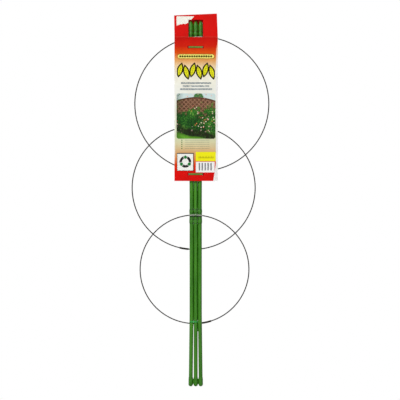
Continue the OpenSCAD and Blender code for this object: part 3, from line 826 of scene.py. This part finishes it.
def low_tie():
    z = 141.5
    a = np.radians(np.linspace(-72, 268, 90))
    loop = np.stack([4.45 * np.cos(a), 4.45 * np.sin(a), np.full(90, z)], 1)
    band = sweep(loop, np.repeat([[0, 0, 1.0]], 90, 0), strip_section(3.2, 0.09, 0.13))
    tail = rounded([(1.6, -4.95, z - 0.25), (0.2, -5.2, z - 0.2), (-3.0, -5.27, z - 0.1), (-7.5, -5.26, z + 0.08), (-12.0, -5.22, z + 0.2)], 1.5, 0.5)
    tail = sweep(tail, np.repeat([[0.03, 0, 1.0]], len(tail), 0), strip_section(3.1))
    v, f = joined(band, tail)
    return piece("low_tie_strip", v, f, ["tie_emerald"], "centre_stake", "low_stake_tie", sharp=50)


low_tie()

# its twisted ends hang behind the gap on the right
v, f = joined(twisted(4.7, 2.95, 143.0, 23.0, 4.5, 0.0), twisted(4.7, 2.95, 143.0, 22.0, 4.5, math.pi))
piece("low_tie_twist", v, f, ["tie_emerald"], "centre_stake", None, sharp=50)


# ---------------------------------------------------------------- fins on the side stakes that close the gaps, standing in for the shade seen there
def apart(z):
    """Distance of a side stake from the centre one."""
    return np.where(z < 160.0, 9.1 + 1.9 * (160.0 - z) / 160.0, 9.1 + 1.8 * np.clip(z - 400.0, 0, None) / 400.0)


def stake_gap_shade_fin(side, s):
    """Thin fin of green coating along a side stake's inner flank, put into the gap to the centre stake so that the gap
    shows shade there.
    """
    z = np.linspace(126.0, 535.0, 341)
    y = 1.3
    reach = 0.09 + 0.02 * np.sin(z / 9.0)
    # it ends just short of the centre stake, stands out by 0.8 mm at most, and leaves room for the ties and the low collar
    tip = np.maximum(math.sqrt(4.3 ** 2 - y ** 2) + 0.05 + reach, apart(z) - 4.92)
    tip = np.where(np.abs(z - 141.5) < 3.6, np.maximum(tip, 4.68), tip)
    tip = np.where(np.abs(z - 372.5) < 17.6, np.maximum(tip, 4.48), tip)
    tip = np.where(np.abs(z - 465.0) < 3.6, np.maximum(tip, 4.98), tip)
    root = apart(z) - 3.8
    fade = np.clip(np.minimum(z - 126.0, 535.0 - z) / 14.0, 0, 1)
    tip = root - 0.24 - (root - 0.24 - tip) * fade
    v, f = [], []
    for x0, x1, h in zip(root, tip, z):
        v += [(s * x0, y - 0.3, h), (s * x1, y - 0.07, h), (s * x1, y + 0.07, h), (s * x0, y + 0.3, h)]
    n = len(z)
    f += [(i * 4 + j, i * 4 + (j + 1) % 4, (i + 1) * 4 + (j + 1) % 4, (i + 1) * 4 + j) for i in range(n - 1) for j in range(4)]
    f += [(3, 2, 1, 0), tuple((n - 1) * 4 + j for j in range(4))]
    return piece(f"{side}_stake_gap_shade_fin", v, f, ["green_coating"], f"{side}_stake", None, sharp=30)


stake_gap_shade_fin("left", -1)
stake_gap_shade_fin("right", 1)


def cap_gap_shade_fin(side, s, flank):
    """Fin down one flank of a foot cap, put into the gap to the next cap so that the gap shows shade there."""
    z = np.linspace(4.0, 18.0, 30)
    y = -0.7 if s == 0 else 0.9
    middle = s * apart(z)
    fade = np.clip(np.minimum(z - 4.0, 18.0 - z) / 2.0, 0, 1)
    reach = 4.9 + 0.66 * fade - 0.35 * (1 - fade)
    v, f = [], []
    for x, r, h in zip(middle, reach, z):
        v += [(x + flank * 4.4, y - 0.8, h), (x + flank * r, y - 0.35, h), (x + flank * r, y + 0.35, h), (x + flank * 4.4, y + 0.8, h)]
    n = len(z)
    f += [(i * 4 + j, i * 4 + (j + 1) % 4, (i + 1) * 4 + (j + 1) % 4, (i + 1) * 4 + j) for i in range(n - 1) for j in range(4)]
    f += [(3, 2, 1, 0), tuple((n - 1) * 4 + j for j in range(4))]
    return piece(f"{side}_cap_gap_shade_fin_{'a' if flank < 0 else 'b'}", v, f, ["green_moulding"], f"{side}_stake", None, sharp=30)


cap_gap_shade_fin("left", -1, 1)
cap_gap_shade_fin("centre", 0, -1)
cap_gap_shade_fin("centre", 0, 1)
cap_gap_shade_fin("right", 1, -1)


# ---------------------------------------------------------------- crimped sleeves on the rings
def hung(d, z, shift, p):
    """A point of a ring's own plane, as the folded ring hangs from its eye."""
    turn = -math.asin(shift / (d / 2))
    lean = math.asin((6.5 + 6.0) / (d * math.cos(turn)))
    x, y, zz = p[..., 0], -p[..., 2], p[..., 1]
    zz = zz - d / 2
    x, zz = x * math.cos(turn) + zz * math.sin(turn), -x * math.sin(turn) + zz * math.cos(turn)
    y, zz = y * math.cos(lean) - zz * math.sin(lean), y * math.sin(lean) + zz * math.cos(lean)
    return np.stack([x, y - 6.5, zz + z], -1)


def sleeve(ring, d, z, shift, at):
    span = 20.0 / (d / 2)
    n = 61
    u = np.linspace(0, 1, n)
    a = math.radians(at) - span / 2 + span * u
    path = np.stack([d / 2 * np.cos(a), d / 2 * np.sin(a), np.zeros(n)], 1)
    wide = np.repeat([[0, 0, 1.0]], n, 0)
    k = np.linspace(0, 2 * math.pi, 28, endpoint=False)
    s = u * 20.0
    # rolled ends and three crimps, pressed from the front and the back
    r = np.full(n, 2.02) + 0.07 * np.exp(-((s - 1.0) / 0.7) ** 2) + 0.07 * np.exp(-((s - 19.0) / 0.7) ** 2)
    r *= np.where((s < 0.34) | (s > 19.66), 0.93, 1.0)
    press = sum(np.exp(-((s - c) / 0.85) ** 2) for c in (4.4, 10.0, 15.6))
    sec = np.stack([(r * (1 - 0.2 * press))[:, None] * np.cos(k), (r * (1 + 0.02 * press))[:, None] * np.sin(k)], -1)
    sec = np.clip(sec, -2.1, 2.1)
    v, f = sweep(path, wide, sec)
    v = hung(d, z, shift, v)
    return piece(f"{ring}_crimp_sleeve", v, f, ["join_sleeve"], f"{ring}_ring", f"{ring}_ring_sleeve", sharp=35)


sleeve("top", 293.6, 765.0, 13.4, 272.0)
sleeve("middle", 269.6, 569.5, -4.5, 263.0)
sleeve("bottom", 238.4, 375.5, -2.6, 284.2)
